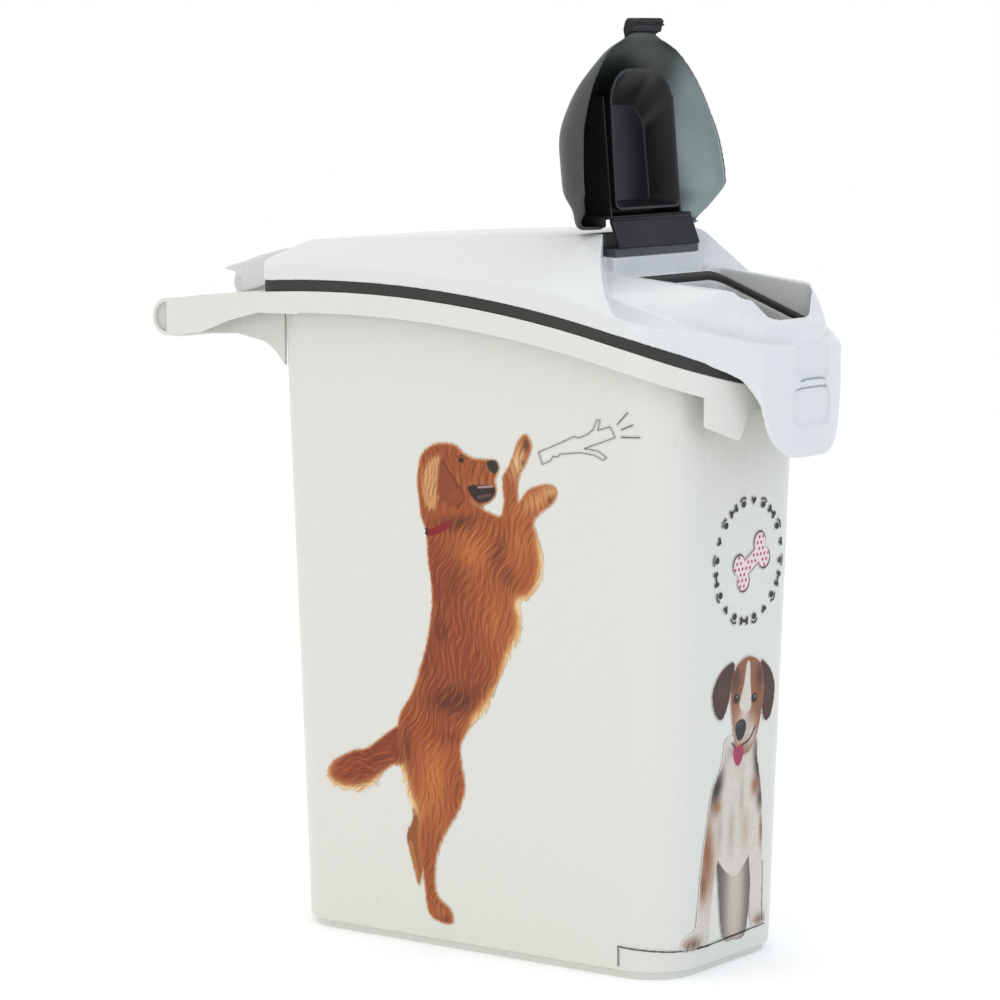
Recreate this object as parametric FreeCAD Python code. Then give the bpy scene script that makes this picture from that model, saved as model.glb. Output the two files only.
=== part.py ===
import FreeCAD, Part

import math
import os

os.makedirs("parts", exist_ok=True)

V = FreeCAD.Vector

# Pet food bin, millimetres. +X points to the pouring end, +Z up, origin at the centre of the foot.

# ---- driving dimensions ----
WALL = 2.4
GAP = 0.3                      # between pieces that move against each other
DRAFT = math.tan(math.radians(1.455))

FOOT_X, FOOT_Y, FOOT_R, FOOT_H = 159.0, 74.0, 33.0, 6.0
BASE_X, BASE_Y, BASE_R = 163.0, 78.0, 37.0
FLOOR_Z = 8.0                  # upper face of the tub's floor
WALL_TOP = 482.0               # drafted walls run to here before the rim trims them

RIM_Y = 106.0                  # half width of rim and lid
RIM_REAR_X, RIM_REAR_R = -170.0, 18.0
RIM_NOSE_X, RIM_NOSE_R = 208.0, 140.0
RIM_CORNER_R = 60.0
RIM_DROP = 15.0                # height of the rim's outer skirt
SKIN = 2.2

ARCH_X, ARCH_Z, ARCH_R = -94.0, 468.0, 1000.0   # crest and radius of the parting line
ARCH_BREAK_X, ARCH_FRONT_R, ARCH_END_X = 140.0, 212.0, 216.0
SEAL_H = 7.5

HINGE_X, HINGE_Z = -254.0, 438.0    # lid pivot: the round middle of the handle bar
JOURNAL_R, JOURNAL_Y = 10.0, 24.0
BAR_X, BAR_Z, BAR_R = -256.5, 436.0, 13.5
BAR_FRONT_X = -238.5
ARM_Y = 100.0
WEB_Y = 72.0                   # inner face of the handle's gusset webs

LID_NOSE_X, LID_TIP_X = 226.5, 236.4   # front of the lid, and where its two front tangents cross
CREASE_SLOPE = -0.308          # slope of the line where the cap lands
CREASE_X, CREASE_Z = 130.0, 461.0
COLLAR_X, COLLAR_Z, COLLAR_SLOPE = 100.0, 479.0, -0.105
SEAT_X, SEAT_Z, SEAT_SLOPE = 112.0, 474.0, -0.352   # plane of the spout seal's top

LEAF_X, LEAF_Z = 102.5, 495.0  # live hinge between bracket and leaf
FOLD_X, FOLD_Z = 95.7, 512.3   # live hinge between leaf and cap
LEAF_T, LEAF_Y = 2.0, 49.0
LEAF_SWING, FOLD_RATIO = 197.2, -0.432   # degrees the leaf swings to shut the cap, and the cap's share
CAP_T = 2.0
# open cap in level slices: height, half width, x of the lip, depth of the dome behind the lip
CAP_SLICES = [(507, 68, 90, 19), (523, 82, 98.5, 35), (538, 88, 103, 46),
              (565, 84.5, 100, 48), (593, 72.6, 95.5, 38), (620, 51, 93, 20), (640, 17, 92, 6)]
CAP_STEPS = 14                 # slices that the dome is lofted through
DOME_POWER, DOME_POINTS = 2.5, 16   # superellipse of each slice
CUP_Y, CUP_Z0, CUP_Z1 = 40.0, 519.5, 615.0
CUP_X0, CUP_X1 = 94.0, 86.0    # x of the scoop's rim at its lower and upper end
CUP_DEPTH = 23.0

FILM_T = 0.3
NOTCH_Y, NOTCH_Z = 52.5, 488.6 # recess in the crown for the cap's hinge
SLOT_X = 101.0
SEAT_DROP, SEAT_T = 4.0, 6.0   # the spout seal's height and width
SEAL_T = 7.0
TONGUE_T = 2.8
TONGUE_Y, TONGUE_R = 52.0, 140.0
TAIL_Y = 22.0
HOOK_Y, HOOK_T = 8.0, 3.0

BIG = 700.0


# ---- helpers ----
def plan(z):
    """Puts an outline drawn as (x, y) at height z."""
    return lambda a, b: V(a, b, z)


def sloped(x0, z0, slope):
    """Puts an outline drawn as (x, y) on a plane that slopes along X."""
    return lambda a, b: V(a, b, z0 + slope * (a - x0))


def side(y):
    """Puts an outline drawn as (x, z) in the plane y."""
    return lambda a, b: V(a, y, b)


def front(x):
    """Puts an outline drawn as (y, z) in the plane x."""
    return lambda a, b: V(x, a, b)


def outline(points, radii, place):
    """Closed wire through the points, with corner i rounded to radii[i]."""
    corners = []
    count = len(points)
    for i, point in enumerate(points):
        p = V(point[0], point[1], 0)
        if radii[i] <= 0:
            corners.append((p, None, p))
            continue
        before = points[i - 1]
        after = points[(i + 1) % count]
        u = (V(before[0], before[1], 0) - p).normalize()
        w = (V(after[0], after[1], 0) - p).normalize()
        half = u.getAngle(w) / 2
        run = radii[i] / math.tan(half)
        bisector = (u + w).normalize()
        mid = p + bisector * (radii[i] / math.sin(half) - radii[i])
        corners.append((p + u * run, mid, p + w * run))
    edges = []
    for i, (start, mid, end) in enumerate(corners):
        last = corners[i - 1][2]
        if (start - last).Length > 1e-4:
            edges.append(Part.LineSegment(place(last.x, last.y), place(start.x, start.y)).toShape())
        if mid is not None:
            ends = place(start.x, start.y), place(mid.x, mid.y), place(end.x, end.y)
            edges.append(Part.Arc(*ends).toShape())
    return Part.Wire(Part.__sortEdges__(edges))


def prism(wire, vector):
    return Part.Face(wire).extrude(vector)


def box(low, high):
    return Part.makeBox(high[0] - low[0], high[1] - low[1], high[2] - low[2], V(*low))


def cylinder_y(x, z, radius, y0, y1):
    return Part.makeCylinder(radius, y1 - y0, V(x, y0, z), V(0, 1, 0))


def loft(wires, ruled=True):
    return Part.makeLoft(wires, True, ruled, False, 3)


def mirrored(shape):
    return shape.mirror(V(0, 0, 0), V(0, 1, 0))


def both_sides(shape):
    return shape.fuse(mirrored(shape))


def rounded_rectangle(half_x, half_y, radius, z):
    points = [(half_x, half_y), (-half_x, half_y), (-half_x, -half_y), (half_x, -half_y)]
    return outline(points, [radius] * 4, plan(z))


def export(name, shape):
    shape = shape.removeSplitter()
    shape.exportStep("parts/" + name + ".step")
    kind = shape.ShapeType, len(shape.Solids)
    print(name, *kind, "valid", shape.isValid(), "volume cm3", round(shape.Volume / 1000, 1))


# ---- parting line between tub and lid ----
def arch_z(x):
    """Height of the parting line on its main arc."""
    return ARCH_Z - ARCH_R + math.sqrt(ARCH_R ** 2 - (x - ARCH_X) ** 2)


def arch_edges(dz):
    """The parting line as two tangent arcs and a straight run out, raised by dz."""
    turn = math.asin((ARCH_BREAK_X - ARCH_X) / ARCH_R)
    centre_x = ARCH_BREAK_X - ARCH_FRONT_R * math.sin(turn)
    centre_z = arch_z(ARCH_BREAK_X) - ARCH_FRONT_R * math.cos(turn)

    def steep(x):
        return V(x, 0, centre_z + math.sqrt(ARCH_FRONT_R ** 2 - (x - centre_x) ** 2) + dz)

    def gentle(x):
        return V(x, 0, arch_z(x) + dz)

    far = steep(ARCH_END_X)
    slope = -(ARCH_END_X - centre_x) / (far.z - dz - centre_z)
    out_x = 300.0
    out = V(out_x, 0, far.z + slope * (out_x - ARCH_END_X))
    main = Part.Arc(gentle(-330), gentle(ARCH_X), gentle(ARCH_BREAK_X)).toShape()
    drop = Part.Arc(gentle(ARCH_BREAK_X), steep((ARCH_BREAK_X + ARCH_END_X) / 2), far).toShape()
    return [main, drop, Part.LineSegment(far, out).toShape()]


def under_arch(dz):
    """Everything below the parting line raised by dz."""
    edges = arch_edges(dz)
    start = edges[0].Vertexes[0].Point
    end = edges[-1].Vertexes[-1].Point
    low_z = -50.0
    low_start, low_end = V(start.x, 0, low_z), V(end.x, 0, low_z)
    edges.append(Part.LineSegment(end, low_end).toShape())
    edges.append(Part.LineSegment(low_end, low_start).toShape())
    edges.append(Part.LineSegment(low_start, start).toShape())
    solid = prism(Part.Wire(Part.__sortEdges__(edges)), V(0, 2 * BIG, 0))
    solid.translate(V(0, -BIG, 0))
    return solid


def rim_prism(inset, z0=300.0, z1=540.0):
    """Upright prism of the rim's plan outline, pulled in by inset."""
    w = RIM_Y - inset
    nose_r = RIM_NOSE_R - inset
    corner_r = RIM_CORNER_R - inset
    corner_y = RIM_Y - RIM_CORNER_R
    nose_cx = RIM_NOSE_X - RIM_NOSE_R
    reach = RIM_NOSE_R - RIM_CORNER_R
    corner_cx = nose_cx + math.sqrt(reach ** 2 - corner_y ** 2)
    swing = math.atan2(corner_y, corner_cx - nose_cx)

    def at(cx, cy, r, angle):
        return V(cx + r * math.cos(angle), cy + r * math.sin(angle), z0)

    side_mid = (swing + math.pi / 2) / 2
    rear = RIM_REAR_X + inset
    rear_r = RIM_REAR_R - inset
    rear_cx, rear_cy = rear + rear_r, w - rear_r
    nose = Part.Arc(at(nose_cx, 0, nose_r, -swing), at(nose_cx, 0, nose_r, 0), at(nose_cx, 0, nose_r, swing))
    left = Part.Arc(at(nose_cx, 0, nose_r, swing), at(corner_cx, corner_y, corner_r, side_mid),
                    at(corner_cx, corner_y, corner_r, math.pi / 2))
    back = Part.Arc(V(rear_cx, w, z0), at(rear_cx, rear_cy, rear_r, 0.75 * math.pi), V(rear, rear_cy, z0))
    half = [left.toShape(), Part.LineSegment(V(corner_cx, w, z0), V(rear_cx, w, z0)).toShape(), back.toShape()]
    edges = [nose.toShape(), Part.LineSegment(V(rear, rear_cy, z0), V(rear, -rear_cy, z0)).toShape()]
    edges += half + [mirrored(edge) for edge in half]
    return prism(Part.Wire(Part.__sortEdges__(edges)), V(0, 0, z1 - z0))


def lid_prism(inset, z0=300.0, z1=560.0):
    """Upright prism of the lid's plan outline, which flares out to the pull tongue, pulled in by inset."""
    half = [(RIM_REAR_X, RIM_Y, RIM_REAR_R), (158, RIM_Y, RIM_CORNER_R), (190, 72, 40), (217.2, TONGUE_Y, 12)]
    tip = (LID_TIP_X, 0, TONGUE_R)
    corners = half + [tip] + [(x, -y, r) for x, y, r in reversed(half)]
    wire = outline([(x, y) for x, y, r in corners], [r for x, y, r in corners], plan(z0))
    if inset:
        wire = wire.makeOffset2D(-inset)
    return prism(wire, V(0, 0, z1 - z0))


# ---- tub ----
def wall_loft(inset, z0, z1):
    """The drafted walls as a solid, pulled in by inset, between two heights."""
    wires = []
    for z in (z0, z1):
        grow = DRAFT * (z - FOOT_H) - inset
        wires.append(rounded_rectangle(BASE_X + grow, BASE_Y + grow, BASE_R - inset, z))
    return loft(wires)


def foot():
    """Foot ring with shallow pockets between cross ribs, all resting at z = 0."""
    ring_t, rib_t, pocket = 5.0, 6.0, 4.0
    solid = prism(rounded_rectangle(FOOT_X, FOOT_Y, FOOT_R, 0), V(0, 0, FLOOR_Z))
    hollow = prism(rounded_rectangle(FOOT_X - ring_t, FOOT_Y - ring_t, FOOT_R - ring_t, 0), V(0, 0, pocket))
    ribs = box((-FOOT_X, -rib_t / 2, 0), (FOOT_X, rib_t / 2, pocket))
    for x in (-80.0, 0.0, 80.0):
        ribs = ribs.fuse(box((x - rib_t / 2, -FOOT_Y, 0), (x + rib_t / 2, FOOT_Y, pocket)))
    return solid.cut(hollow.cut(ribs))


def rim():
    """Rolled rim: a top web and an outer skirt, open below."""
    top = -SEAL_H - GAP
    band = rim_prism(0).common(under_arch(top)).cut(under_arch(top - RIM_DROP))
    return band.cut(rim_prism(SKIN).common(under_arch(top - WALL)))


def corner_skirt():
    """Guard that hangs from the rim at the left front corner."""
    points = [(-71.5, 420), (-71.5, 380), (-48, 369.5), (-42, 387), (-37, 420)]
    shape = prism(outline(points, [0, 3, 3, 12, 0], front(100)), V(150, 0, 0))
    ring = rim_prism(0).cut(rim_prism(SKIN))
    return ring.common(shape).common(under_arch(-SEAL_H - GAP - RIM_DROP + 1))


def arm_top():
    return [(BAR_X, BAR_Z + BAR_R), (-241, 450.5), (-225, 453), (-188, 456), (-168, 457), (-130, 458)]


def handle_arm():
    """Left arm: outer band, top web and inner gusset, open below."""
    top = arm_top()
    low_band = [(-130, 443.5), (-168, 443), (-197, 436), (-225, 426), (BAR_X, BAR_Z - BAR_R)]
    band = prism(outline(top + low_band, [0] * 11, side(-120)), V(0, 40, 0))
    outer = [(-130, -RIM_Y), (-150, -RIM_Y), (BAR_X, -ARM_Y), (BAR_X, -WEB_Y), (-130, -WEB_Y)]
    inner = [(x, y + SKIN if y < -WEB_Y else y) for x, y in outer]
    plan_full = prism(outline(outer, [0, 60, 0, 0, 0], plan(380)), V(0, 0, 100))
    plan_hollow = prism(outline(inner, [0, 60, 0, 0, 0], plan(380)), V(0, 0, 100))
    skirt = band.common(plan_full.cut(plan_hollow))
    under = [(x, z - WALL) for x, z in reversed(top)]
    web = prism(outline(top + under, [0] * 12, side(-120)), V(0, 60, 0)).common(plan_full)
    low_gusset = [(-168, 404), (-176, 413), (-186, 420), (-212, 424.5), (BAR_X, BAR_Z - BAR_R)]
    gusset = prism(outline(top[:-1] + low_gusset, [0, 0, 0, 0, 0, 0, 12, 18, 0, 0], side(-WEB_Y - SKIN)), V(0, SKIN, 0))
    return skirt.fuse([web, gusset])


def handle_bar():
    """Hollow crossbar with flat front, and the round journal in its middle that the lid turns on."""
    def section(inset):
        r = BAR_R - inset
        x = BAR_FRONT_X - inset
        return outline([(x, BAR_Z - r), (x, BAR_Z + r), (BAR_X - r, BAR_Z + r), (BAR_X - r, BAR_Z - r)],
                       [3, 3, r - 0.01, r - 0.01], side(-ARM_Y))
    bar = prism(section(0), V(0, 2 * ARM_Y, 0)).cut(prism(section(2.6), V(0, 2 * ARM_Y, 0)))
    gap_box = box((-300, -JOURNAL_Y, 380), (-200, JOURNAL_Y, 500))
    bar = bar.cut(gap_box)
    cheek_t = 3.0
    cheek = prism(section(0), V(0, cheek_t, 0))
    cheek.translate(V(0, ARM_Y - JOURNAL_Y - cheek_t, 0))
    journal = cylinder_y(HINGE_X, HINGE_Z, JOURNAL_R, -JOURNAL_Y - 1, JOURNAL_Y + 1)
    return bar.fuse([both_sides(cheek), journal])


def bin_body():
    top = -SEAL_H - GAP
    walls = wall_loft(0, FOOT_H, WALL_TOP).common(under_arch(top))
    solid = walls.fuse([foot(), rim(), both_sides(corner_skirt()), both_sides(handle_arm()), handle_bar()])
    return solid.cut(wall_loft(WALL, FLOOR_Z, WALL_TOP + 1))


def print_film(points, radius, place, vector, wall_slice):
    """Thin printed film that lies on one wall."""
    return prism(outline(points, [radius] * 4, place), vector).common(wall_slice)


def wall_skin(thickness):
    """A layer of the given thickness on the outside of the drafted walls."""
    return wall_loft(-thickness, FOOT_H, 400).cut(wall_loft(0, FOOT_H, 400))


def prints():
    """The three printed films: both sides and the front."""
    skin = wall_skin(FILM_T)
    side_points = [(-125, 12), (125, 12), (125, 380), (-125, 380)]
    near = print_film(side_points, 6, side(-120), V(0, 80, 0), skin)
    front_points = [(-40, 12), (40, 12), (40, 365), (-40, 365)]
    nose = print_film(front_points, 6, front(120), V(100, 0, 0), skin)
    return {"side_print_near": near, "side_print_far": mirrored(near), "front_print": nose}


# ---- lid ----
def crown_section(x, band_z, top_y, top_z, half_width, low_z=380.0):
    """Cross-section of the crown: upright band, slope, rounded shoulder, flat top."""
    points = [(-half_width, low_z), (-half_width, band_z), (-top_y, top_z)]
    points += [(-a, b) for a, b in reversed(points)]
    return outline(points, [0, 3, 16, 16, 3, 0], front(x))


def crown(inset):
    """Arched crown as a solid that runs down past the parting line, pulled in by inset."""
    w = RIM_Y - inset

    def station(x, band_z, top_y, top_z):
        return crown_section(x, band_z - inset, top_y - 0.4 * inset, top_z - inset, w)

    rear = station(RIM_REAR_X - 2 + inset, 475.5, 90, 480)
    hip = station(-150, 477.5, 69, 493.5)
    main = [hip, station(-60, 478.5, 66, 499), station(20, 474.0, 63, 502.5),
            station(92, 465.2, 61.5, 504.2), station(124, 455.5, 61, 504.5), station(156, 445.5, 60.5, 504)]
    return loft([rear, hip]).fuse(loft(main, ruled=False))


def step_cut(dx, dz):
    """What the crown loses in front: two swept shoulder faces and the hinge notch between them."""
    face = [(111.5 + dx, 540), (111.5 + dx, 490 + dz), (113.5 + dx, 478 + dz), (117 + dx, 466 + dz),
            (126 + dx, 452 + dz), (260, 410 + dz), (260, 540)]
    radii = [0, 12, 12, 12, 6, 0, 0]
    reach = 85 - NOTCH_Y - dx
    swept = prism(outline(face, radii, side(-85)), V(-0.6 * reach, reach, 0))
    outer = prism(outline(face, radii, side(-85)), V(21, -35, 0))
    notch = [(78 + dx, 540), (78 + dx, NOTCH_Z + dz), (SLOT_X + dx, NOTCH_Z + dz), (SLOT_X + dx, 468 + dz),
             (140, 450 + dz), (260, 412 + dz), (260, 540)]
    middle = prism(outline(notch, [0, 2, 1, 0, 0, 0, 0], side(-NOTCH_Y + dx)), V(0, 2 * (NOTCH_Y - dx), 0))
    return both_sides(swept.fuse(outer)).fuse(middle)


def leaf_slot(inset):
    """Stepped well behind the collar that the hinge leaf folds down into."""
    y = NOTCH_Y + inset
    deep = box((SLOT_X - inset, -y, 473.2 - inset), (SLOT_X + 5.5 + inset, y, 540))
    return deep.fuse(box((SLOT_X - inset, -y, 475.4 - inset), (SLOT_X + 11 + inset, y, 540)))


def landing(inset):
    """Front slope of the lid, up to the crease that the cap's lip lands on."""
    rear_x = 92.0 + inset
    nose_x = LID_NOSE_X - inset
    w = RIM_Y + 0.5 - inset
    band = sloped(CREASE_X, CREASE_Z - 7 - inset, CREASE_SLOPE)
    low = nose_wire(rear_x, w, 140, w, nose_x + 8, band)
    base_low = nose_wire(rear_x, w, 140, w, nose_x + 8, plan(340.0))
    return loft([base_low, low]).fuse(loft([low, crease_wire(inset)]))


def crease_wire(inset):
    crease = sloped(CREASE_X, CREASE_Z - inset, CREASE_SLOPE)
    return nose_wire(92.0 + inset, 90 - inset, 152, 80 - inset, LID_NOSE_X - 0.5 - inset, crease)


def collar(inset):
    """Raised pouring collar inside the crease, low enough in front to fit under the shut cap."""
    level = sloped(COLLAR_X, COLLAR_Z - inset, COLLAR_SLOPE)
    top = nose_wire(92.0 + inset, 64 - inset, 200, 57 - inset, 217.5 - inset, level)
    under_cap = shut(dome(CAP_T + 2 * GAP + inset, 60)).fuse(box((0, -BIG, 300), (150, BIG, 600)))
    back, drop = 195 - 0.9 * inset, -inset
    lip = [(back, 540), (back, 480 + drop), (back + 4.5, 467.5 + drop), (back + 13, 450 + drop),
           (216, 446.5 + drop), (260, 446.5 + drop), (260, 540)]
    notch = prism(outline(lip, [0, 0, 5, 6, 6, 0, 0], side(-120)), V(0, 240, 0))
    return loft([crease_wire(inset), top]).common(under_cap).cut(notch)


def pour_front(inset):
    """Front of the lid: the slope and the pouring collar on it."""
    return landing(inset).fuse(collar(inset))


def nose_wire(rear_x, rear_y, x, y, nose_x, place):
    """Outline with a straight rear, two sides and one arc round the nose."""
    edges = [Part.LineSegment(place(rear_x, -rear_y), place(x, -y)).toShape(),
             Part.Arc(place(x, -y), place(nose_x, 0), place(x, y)).toShape(),
             Part.LineSegment(place(x, y), place(rear_x, rear_y)).toShape(),
             Part.LineSegment(place(rear_x, rear_y), place(rear_x, -rear_y)).toShape()]
    return Part.Wire(edges)


def mouth(inset, z0=400.0, z1=500.0):
    """Upright prism of the pouring opening, pulled in by inset."""
    points = [(109 + inset, -58.5 + inset), (196, -48.5 + inset), (209 - inset, -21), (209 - inset, 21),
              (196, 48.5 - inset), (109 + inset, 58.5 - inset)]
    return prism(outline(points, [9, 14, 30, 30, 14, 9], plan(z0)), V(0, 0, z1 - z0))


def above_seat(dz):
    """Everything above the seat plane of the spout seal, raised by dz."""
    place = sloped(SEAT_X, SEAT_Z + dz, SEAT_SLOPE)
    rect = Part.makePolygon([place(90, -100), place(240, -100), place(240, 100), place(90, 100), place(90, -100)])
    return prism(rect, V(0, 0, 160))


def tongue():
    """Pull tongue that hangs in front of the rim, with its two pressed panels and the snap rib behind it."""
    half = [(80, 450, 0), (80, 426, 8), (58, 413, 12), (49, 393, 40), (40, 357, 32)]
    shield = [(-y, z, r) for y, z, r in half] + list(reversed(half))
    flap = prism(outline([p[:2] for p in shield], [p[2] for p in shield], front(150)), V(100, 0, 0))
    ring = lid_prism(0).cut(lid_prism(TONGUE_T))
    solid = ring.common(flap).common(landing(0)).cut(rim_prism(-GAP).common(under_arch(0)))
    rib = lid_prism(TONGUE_T - 0.5).cut(rim_prism(-GAP - 0.3)).common(box((150, -16, 381), (240, 16, 384)))
    return solid.fuse(rib)


def tongue_panels():
    """Shallow hollows pressed into the tongue's outer face."""
    depth = 1.4
    skin = lid_prism(-1).cut(lid_prism(depth))
    seat = prism(outline([(-19.5, 409), (19.5, 409), (19.5, 431), (-19.5, 431)], [5] * 4, front(150)), V(100, 0, 0))
    grip = prism(outline([(-22, 379), (22, 379), (22, 404), (-22, 404)], [8, 8, 3, 3], front(150)), V(100, 0, 0))
    return skin.common(seat.fuse(grip))


def tail():
    """Rear strap that runs out over the handle and hooks round its journal."""
    top = [(-140, 491), (-210, 483.5), (-233, 478), (-252, 472), (-266, 468.5), (-271, 463), (-272, 449)]
    outer = prism(outline(top + [(-262, 449), (-251, 449), (-210, 462), (-165, 470), (-140, 470)],
                          [0, 30, 30, 20, 5, 4, 0, 0, 0, 30, 0, 0], side(-TAIL_Y)), V(0, 2 * TAIL_Y, 0))
    inside = [(x + 1.5, z - WALL) for x, z in top[:-2]] + [(-268.6, 462), (-269.5, 440), (-140, 440)]
    hollow = prism(outline(inside, [0, 30, 30, 20, 5, 4, 0, 0], side(SKIN - TAIL_Y)), V(0, 2 * (TAIL_Y - SKIN), 0))
    window = [(-275, 440), (-275, 462), (-269.6, 466), (-259.5, 465), (-252, 459), (-251, 440)]
    sides = prism(outline(window, [0] * 6, side(-TAIL_Y)), V(0, 2 * TAIL_Y, 0))
    return outer.cut([hollow, sides])


def hooks():
    """Two ribs inside the tail that clip round the journal."""
    r = JOURNAL_R + GAP
    plates = []
    for y in (HOOK_Y, -HOOK_Y - HOOK_T):
        disc = cylinder_y(HINGE_X, HINGE_Z, r + 3.2, y, y + HOOK_T)
        arm = [(-266, 467), (-230, 477), (-196, 484), (-196, 466), (-236, 455), (-244, 440), (-262, 440), (-269, 455)]
        plate = disc.fuse(prism(outline(arm, [0] * 8, side(y)), V(0, HOOK_T, 0)))
        mouth_cut = [(HINGE_X - 7.5, HINGE_Z - 30), (HINGE_X + 7.5, HINGE_Z - 30), (HINGE_X + 7.5, HINGE_Z), (HINGE_X - 7.5, HINGE_Z)]
        slot = prism(outline(mouth_cut, [0] * 4, side(y)), V(0, HOOK_T, 0))
        plates.append(plate.cut([cylinder_y(HINGE_X, HINGE_Z, r, y, y + HOOK_T), slot]))
    return plates


def lid():
    outer = crown(0).cut(step_cut(0, 0)).fuse(pour_front(0)).common(lid_prism(0)).cut(leaf_slot(0))
    inner = crown(WALL).cut(step_cut(-WALL, -WALL)).fuse(pour_front(WALL)).common(lid_prism(WALL)).cut(leaf_slot(WALL))
    shell = outer.cut(inner).cut(under_arch(0))
    flange = lid_prism(WALL - 1).cut(rim_prism(SEAL_T + 1)).common(under_arch(WALL)).cut(under_arch(0))
    chute = mouth(-WALL, 300).common(outer).common(above_seat(-34)).cut(under_arch(0))
    solid = shell.fuse([flange, chute, tongue(), tail()] + hooks())
    solid = solid.cut([mouth(0, 300).common(above_seat(-SEAT_DROP)), mouth(SEAT_T, 300), tongue_panels()])
    inside_crown = crown(WALL).common(box((-165, -60, 400), (60, 60, 520)))
    return solid.cut(inside_crown)


def lid_seal():
    ring = rim_prism(0.6).cut(rim_prism(SEAL_T))
    return ring.common(under_arch(0)).cut(under_arch(-SEAL_H))


def spout_seal():
    ring = mouth(0.0).cut(mouth(SEAT_T))
    return ring.common(above_seat(-SEAT_DROP)).cut(above_seat(0))


# ---- pouring cap, drawn standing open ----
def smooth_slice(z):
    """The cap's slice at height z, by monotone cubic steps between the given slices."""
    def slope(i, k):
        if i in (0, len(CAP_SLICES) - 1):
            return None
        left = (CAP_SLICES[i][k] - CAP_SLICES[i - 1][k]) / (CAP_SLICES[i][0] - CAP_SLICES[i - 1][0])
        right = (CAP_SLICES[i + 1][k] - CAP_SLICES[i][k]) / (CAP_SLICES[i + 1][0] - CAP_SLICES[i][0])
        return 0.0 if left * right <= 0 else 2 * left * right / (left + right)

    i = max(j for j in range(len(CAP_SLICES) - 1) if CAP_SLICES[j][0] <= z)
    low, high = CAP_SLICES[i], CAP_SLICES[i + 1]
    span = high[0] - low[0]
    t = (z - low[0]) / span
    values = []
    for k in (1, 2, 3):
        chord = (high[k] - low[k]) / span
        m0, m1 = slope(i, k), slope(i + 1, k)
        m0 = 1.5 * chord - 0.5 * m1 if m0 is None else m0
        m1 = 1.5 * chord - 0.5 * m0 if m1 is None else m1
        values.append(low[k] * (1 + 2 * t) * (1 - t) ** 2 + m0 * span * t * (1 - t) ** 2
                      + high[k] * t * t * (3 - 2 * t) + m1 * span * t * t * (t - 1))
    return values


def dome_arc(centre, half_width, depth):
    """Half of a superellipse, from +Y round the back to -Y."""
    points = []
    for i in range(DOME_POINTS + 1):
        angle = math.pi * i / DOME_POINTS
        c, d = math.cos(angle), math.sin(angle)
        across = math.copysign(abs(c) ** (2 / DOME_POWER), c) * half_width
        back = d ** (2 / DOME_POWER) * depth if 0 < i < DOME_POINTS else 0.0
        points.append(centre + V(-back, across, 0))
    curve = Part.BSplineCurve()
    curve.interpolate(points)
    return curve.toShape()


def dome(inset, forward=0.0):
    """The cap's domed body as a solid, pulled in by inset and run forward past the lip."""
    wires = []
    low_z, high_z = CAP_SLICES[0][0], CAP_SLICES[-1][0]
    for i in range(CAP_STEPS + 1):
        z = low_z + (high_z - low_z) * i / CAP_STEPS
        half_w, lip_x, depth = smooth_slice(min(z, high_z - 1e-6))
        w = half_w - inset
        centre = V(lip_x, 0, z + (inset if i == 0 else 0))
        arc = dome_arc(centre, w, depth - inset)
        start, end = centre + V(0, w, 0), centre + V(0, -w, 0)
        out = V(forward, 0, 0)
        edges = [arc]
        if forward > 0:
            edges.append(Part.LineSegment(end, end + out).toShape())
            edges.append(Part.LineSegment(end + out, start + out).toShape())
            edges.append(Part.LineSegment(start + out, start).toShape())
        else:
            edges.append(Part.LineSegment(end, start).toShape())
        wires.append(Part.Wire(edges))
    return loft(wires, ruled=False)


def lid_as_met(swing):
    """The lid's front, grown by the gap, where the cap meets it once the leaf has swung so far."""
    shoulders = crown(-2 * GAP).cut(step_cut(2 * GAP, 2 * GAP)).common(box((85, -BIG, 440), (150, BIG, 540)))
    met = landing(-GAP).common(lid_prism(-GAP)).fuse(shoulders).cut([mouth(SEAT_T), leaf_slot(0)])
    met.rotate(V(LEAF_X, 0, LEAF_Z), V(0, 1, 0), -swing)
    met.rotate(V(FOLD_X, 0, FOLD_Z), V(0, 1, 0), -swing * FOLD_RATIO)
    return met


def shut(shape):
    """A shape of the open cap, moved to where it lies when the cap is shut."""
    shape.rotate(V(FOLD_X, 0, FOLD_Z), V(0, 1, 0), LEAF_SWING * FOLD_RATIO)
    shape.rotate(V(LEAF_X, 0, LEAF_Z), V(0, 1, 0), LEAF_SWING)
    return shape


def pour_cap():
    shell = dome(0).cut(dome(CAP_T, 4))
    hinge_gap = box((60, -LEAF_Y - 1, 500), (110, LEAF_Y + 1, FOLD_Z + LEAF_T / 2 + GAP))
    swings = [LEAF_SWING + past for past in (-12, -6, 0, 3)]
    return shell.cut([hinge_gap] + [lid_as_met(swing) for swing in swings])


def cap_grip():
    """Thumb grip at the tip, with fine ribs on its face."""
    points = [(-14.5, 630), (-18, 641), (-15, 649), (15, 649), (18, 641), (14.5, 630)]
    block = prism(outline(points, [0, 4, 5, 5, 4, 0], front(84)), V(11, 0, 0))
    ribs = [box((94, -20, z), (96, 20, z + 1)) for z in (640.0, 642.5, 645.0)]
    return block.cut([dome(0), lid_as_met(LEAF_SWING)] + ribs)


def scoop_rim_x(z):
    return CUP_X0 + (CUP_X1 - CUP_X0) * (z - CUP_Z0) / (CUP_Z1 - CUP_Z0)


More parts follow.
